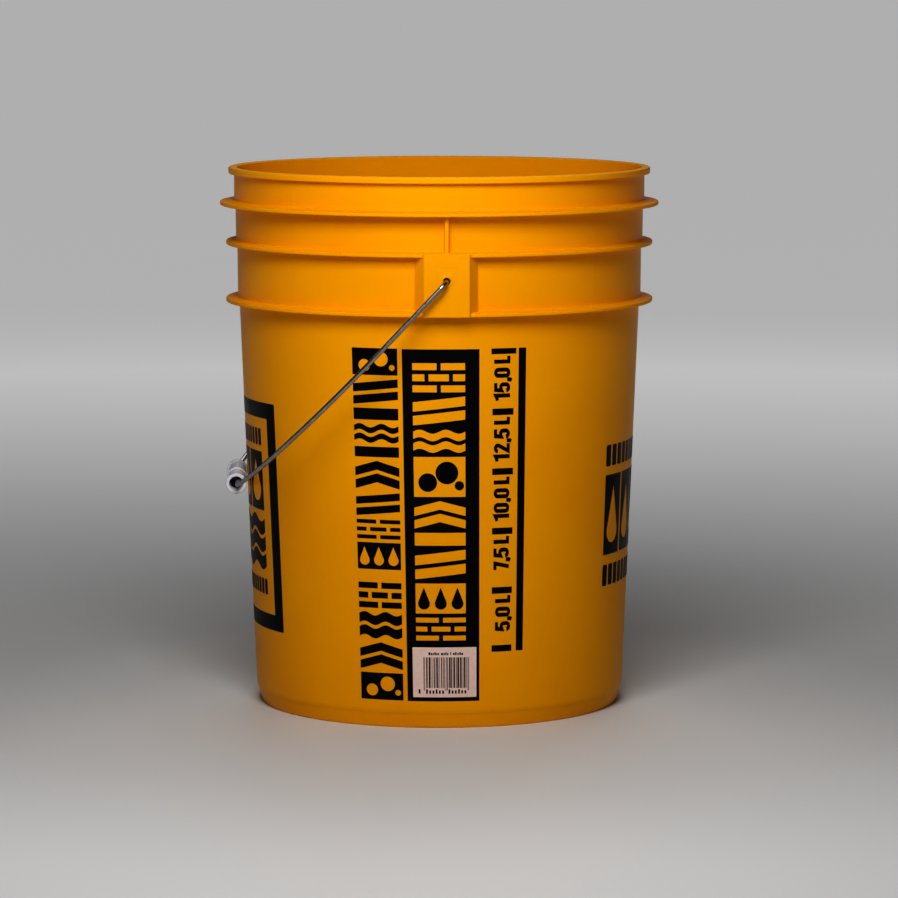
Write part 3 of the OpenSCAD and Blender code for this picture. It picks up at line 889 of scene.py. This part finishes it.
def barcode_loops():
    """Bars of a made-up pattern, with a row of small marks over and under them."""
    az, z = area("barcode_label")
    width = az[1] - az[0]
    low, high = z[0] + 6.6, z[1] - 7.0
    pattern = "111321123112132112311213221111132112312211321121323112113212111"
    guards = (0, 2, 30, 32, len(pattern) - 3, len(pattern) - 1)
    units = sum(int(c) for c in pattern)
    start, end = az[0] + 0.17 * width, az[0] + 0.88 * width
    unit = (end - start) / units
    loops, at, guard_az = [], start, []
    for i, c in enumerate(pattern):
        w = int(c) * unit
        if i % 2 == 0:
            depth = 1.8 if i in guards else 0
            loops.append(rectangle((at, at + w), (low - depth, high)))
            guard_az += [at] if i in guards else []
        at += w
    digits_z = (z[0] + 2.6, z[0] + 5.6)
    digit, pitch = 0.5, 0.96
    loops += small_marks(az[0] + 0.09 * width, digits_z, [digit], 0)
    for left, right in ((guard_az[1], guard_az[2]), (guard_az[3], guard_az[4])):
        first = (left + right - 5 * pitch - digit) / 2 + unit / 2
        loops += small_marks(first, digits_z, [digit] * 6, pitch - digit)
    title = [0.5, 0.4, 0.35, 0.4, 0.4, 0.3, 0, 0.6, 0.35, 0.35, 0.4, 0, 0.25, 0, 0.45, 0.4, 0.2, 0.2,
             0.4, 0.5]
    gap = (0.52 * width - sum(title)) / (len(title) + 0.5 * title.count(0))
    return loops + small_marks(az[0] + 0.25 * width, (z[1] - 5.4, z[1] - 3.4), title, gap)


# ================================================================ materials
def node_material(name):
    mat = bpy.data.materials.new(name)
    mat.use_nodes = True
    nodes, links = mat.node_tree.nodes, mat.node_tree.links
    nodes.clear()
    shader = nodes.new("ShaderNodeBsdfPrincipled")
    out = nodes.new("ShaderNodeOutputMaterial")
    links.new(shader.outputs["BSDF"], out.inputs["Surface"])
    coords = nodes.new("ShaderNodeTexCoord")
    return mat, nodes, links, shader, coords


def noise(nodes, links, coords, scale, detail=3.0, rough=0.5, stretch=None):
    tex = nodes.new("ShaderNodeTexNoise")
    tex.inputs["Scale"].default_value = scale
    tex.inputs["Detail"].default_value = detail
    tex.inputs["Roughness"].default_value = rough
    source = coords.outputs["Object"]
    if stretch:
        mapping = nodes.new("ShaderNodeMapping")
        mapping.inputs["Scale"].default_value = stretch
        links.new(source, mapping.inputs["Vector"])
        source = mapping.outputs["Vector"]
    links.new(source, tex.inputs["Vector"])
    return tex.outputs["Fac"]


def spread(nodes, links, value, low, high, from_low=0.3, from_high=0.7):
    """Maps a noise value to the range low to high."""
    node = nodes.new("ShaderNodeMapRange")
    node.inputs["From Min"].default_value = from_low
    node.inputs["From Max"].default_value = from_high
    node.inputs["To Min"].default_value = low
    node.inputs["To Max"].default_value = high
    links.new(value, node.inputs["Value"])
    return node.outputs["Result"]


def tint(nodes, links, value, dark, light):
    mix = nodes.new("ShaderNodeMix")
    mix.data_type = "RGBA"
    mix.inputs["A"].default_value = (*dark, 1)
    mix.inputs["B"].default_value = (*light, 1)
    links.new(value, mix.inputs["Factor"])
    return mix.outputs["Result"]


def bumps(nodes, links, shader, heights):
    """Adds bump layers: (height socket, strength, distance in millimetres)."""
    normal = None
    for height, strength, distance in heights:
        bump = nodes.new("ShaderNodeBump")
        bump.inputs["Strength"].default_value = strength
        bump.inputs["Distance"].default_value = distance * MM
        links.new(height, bump.inputs["Height"])
        if normal:
            links.new(normal, bump.inputs["Normal"])
        normal = bump.outputs["Normal"]
    links.new(normal, shader.inputs["Normal"])


def pail_material():
    """Golden yellow moulded polyethylene with a soft gloss."""
    mat, nodes, links, shader, coords = node_material("pail_plastic")
    cloud = noise(nodes, links, coords, 9, 4)
    flow = noise(nodes, links, coords, 14, 3, 0.5, (1, 1, 0.25))
    blend = spread(nodes, links, cloud, 0, 1)
    links.new(tint(nodes, links, blend, (0.90, 0.375, 0.0), (0.95, 0.415, 0.0)),
              shader.inputs["Base Color"])
    links.new(spread(nodes, links, flow, 0.36, 0.46), shader.inputs["Roughness"])
    shader.inputs["Subsurface Weight"].default_value = 0.1
    shader.inputs["Subsurface Radius"].default_value = (0.004, 0.0016, 0.0002)
    shader.inputs["Subsurface Scale"].default_value = 1.0
    shader.inputs["Specular IOR Level"].default_value = 0.12
    shader.inputs["Specular Tint"].default_value = (1.0, 0.6, 0.15, 1)
    skin = noise(nodes, links, coords, 900, 2)
    sag = noise(nodes, links, coords, 22, 2, 0.5, (1, 1, 0.35))
    bumps(nodes, links, shader, [(sag, 0.1, 0.25), (skin, 0.2, 0.015)])
    return mat


def steel_material():
    """Zinc plated wire with faint drawing lines along it."""
    mat, nodes, links, shader, coords = node_material("bail_steel")
    shader.inputs["Metallic"].default_value = 1.0
    lines = noise(nodes, links, coords, 60, 4, 0.6, (1, 0.2, 1))
    grime = noise(nodes, links, coords, 180, 3)
    blend = spread(nodes, links, grime, 0, 1)
    links.new(tint(nodes, links, blend, (0.33, 0.33, 0.34), (0.43, 0.43, 0.45)),
              shader.inputs["Base Color"])
    links.new(spread(nodes, links, lines, 0.22, 0.32), shader.inputs["Roughness"])
    bumps(nodes, links, shader, [(lines, 0.12, 0.03), (grime, 0.08, 0.02)])
    return mat


def grip_material():
    """Off-white moulded plastic, slightly waxy."""
    mat, nodes, links, shader, coords = node_material("grip_plastic")
    cloud = noise(nodes, links, coords, 45, 4)
    blend = spread(nodes, links, cloud, 0, 1)
    links.new(tint(nodes, links, blend, (0.70, 0.70, 0.76), (0.78, 0.78, 0.83)),
              shader.inputs["Base Color"])
    links.new(spread(nodes, links, cloud, 0.38, 0.5), shader.inputs["Roughness"])
    shader.inputs["Subsurface Weight"].default_value = 0.15
    shader.inputs["Subsurface Radius"].default_value = (0.001, 0.001, 0.001)
    shader.inputs["Subsurface Scale"].default_value = 1.0
    skin = noise(nodes, links, coords, 1200, 2)
    bumps(nodes, links, shader, [(cloud, 0.2, 0.08), (skin, 0.25, 0.02)])
    return mat


def paper_material():
    """Coated label stock, faintly pink."""
    mat, nodes, links, shader, coords = node_material("label_paper")
    fibre = noise(nodes, links, coords, 400, 5, 0.6)
    blend = spread(nodes, links, fibre, 0, 1)
    links.new(tint(nodes, links, blend, (0.81, 0.59, 0.515), (0.88, 0.66, 0.58)),
              shader.inputs["Base Color"])
    links.new(spread(nodes, links, fibre, 0.42, 0.52), shader.inputs["Roughness"])
    bumps(nodes, links, shader, [(fibre, 0.2, 0.03)])
    return mat


def ink_material():
    """Black screen print, a little glossier where it lies thick."""
    mat, nodes, links, shader, coords = node_material("print_ink")
    patch = noise(nodes, links, coords, 35, 4)
    grain = noise(nodes, links, coords, 700, 2)
    blend = spread(nodes, links, patch, 0, 1)
    links.new(tint(nodes, links, blend, (0.003, 0.0026, 0.0024), (0.006, 0.0055, 0.005)),
              shader.inputs["Base Color"])
    links.new(spread(nodes, links, patch, 0.34, 0.46), shader.inputs["Roughness"])
    shader.inputs["Specular IOR Level"].default_value = 0.08
    bumps(nodes, links, shader, [(grain, 0.25, 0.015)])
    return mat


def floor_material():
    """Pale grey, and brighter by itself far from the bucket, where the lights don't reach."""
    mat, nodes, links, shader, coords = node_material("studio_floor")
    cloud = noise(nodes, links, coords, 2, 2)
    blend = spread(nodes, links, cloud, 0, 1)
    links.new(tint(nodes, links, blend, (0.70, 0.70, 0.70), (0.73, 0.73, 0.73)),
              shader.inputs["Base Color"])
    shader.inputs["Roughness"].default_value = 0.6
    length = nodes.new("ShaderNodeVectorMath")
    length.operation = "LENGTH"
    links.new(coords.outputs["Object"], length.inputs[0])
    shader.inputs["Emission Color"].default_value = (1, 1, 1, 1)
    glow = spread(nodes, links, length.outputs["Value"], 0, GLOW, GLOW_FROM, GLOW_TO)
    links.new(glow, shader.inputs["Emission Strength"])
    return mat


# ================================================================ camera, light and floor
def make_camera():
    data = bpy.data.cameras.new("camera")
    data.lens, data.sensor_width = CAMERA_LENS, CAMERA_SENSOR
    cam = bpy.data.objects.new("camera", data)
    cam.location = Vector(CAMERA_AT) * MM
    cam.rotation_mode = "QUATERNION"
    cam.rotation_quaternion = Vector(CAMERA_AIM).to_track_quat("-Z", "Y")
    bpy.context.scene.collection.objects.link(cam)
    bpy.context.scene.camera = cam


def softbox(name, azimuth, elevation, distance, width, height, power):
    """A rectangular light that faces the middle of the bucket."""
    data = bpy.data.lights.new(name, "AREA")
    data.shape = "RECTANGLE"
    data.size, data.size_y = width, height
    data.energy = power
    a, e = math.radians(azimuth), math.radians(elevation)
    back = Vector((math.sin(a) * math.cos(e), -math.cos(a) * math.cos(e), math.sin(e)))
    light = bpy.data.objects.new(name, data)
    light.location = Vector((0, 0, HEIGHT / 2 * MM)) + back * distance
    light.rotation_mode = "QUATERNION"
    light.rotation_quaternion = (-back).to_track_quat("-Z", "Y")
    light.visible_camera = False
    bpy.context.scene.collection.objects.link(light)


def make_studio():
    scene = bpy.context.scene
    scene.view_settings.view_transform = "Standard"
    scene.view_settings.look = "High Contrast"
    world = bpy.data.worlds.new("studio")
    world.use_nodes = True
    background = world.node_tree.nodes["Background"]
    background.inputs["Color"].default_value = WORLD_COLOUR
    background.inputs["Strength"].default_value = WORLD_STRENGTH
    scene.world = world
    for box in SOFTBOXES:
        softbox(*box)
    floor = bpy.data.meshes.new("floor")
    bm = bmesh.new()
    bmesh.ops.create_circle(bm, cap_ends=True, segments=96, radius=FLOOR_R)
    bm.to_mesh(floor)
    bm.free()
    obj = bpy.data.objects.new("floor", floor)
    floor.materials.append(floor_material())
    scene.collection.objects.link(obj)


# ================================================================ the object
make_camera()
make_studio()

pail_plastic, bail_steel = pail_material(), steel_material()
grip_plastic, label_paper, print_ink = grip_material(), paper_material(), ink_material()

finish_piece(build_pail(), pail_plastic, "bucket", "pail_plastic", "bucket_body")
finish_piece(build_bail(), bail_steel, "bail", "bail_steel", "bail_wire")
finish_piece(build_grip(), grip_plastic, "roller", "grip_plastic", "grip")

PRINTS = [
    ("pattern_column", column_loops, "front_pattern_column"),
    ("pattern_panel", panel_loops, "front_pattern_panel"),
    ("volume_marks", scale_loops, "volume_scale"),
    ("left_mark", left_loops, "left_side_mark"),
    ("right_mark", right_loops, "right_side_mark"),
]
for name, loops, node in PRINTS:
    piece = print_piece(name, loops(), PRINT_GAP, PRINT_T)
    finish_piece(piece, print_ink, "bucket", "print_ink", node)
sheet = print_piece("label_sheet", label_loops(), LABEL_LIFT, LABEL_T)
finish_piece(sheet, label_paper, "bucket", "label_paper", "barcode_label")
bars = print_piece("label_bars", barcode_loops(), BAR_LIFT, BAR_T)
finish_piece(bars, print_ink, "bucket", "print_ink")
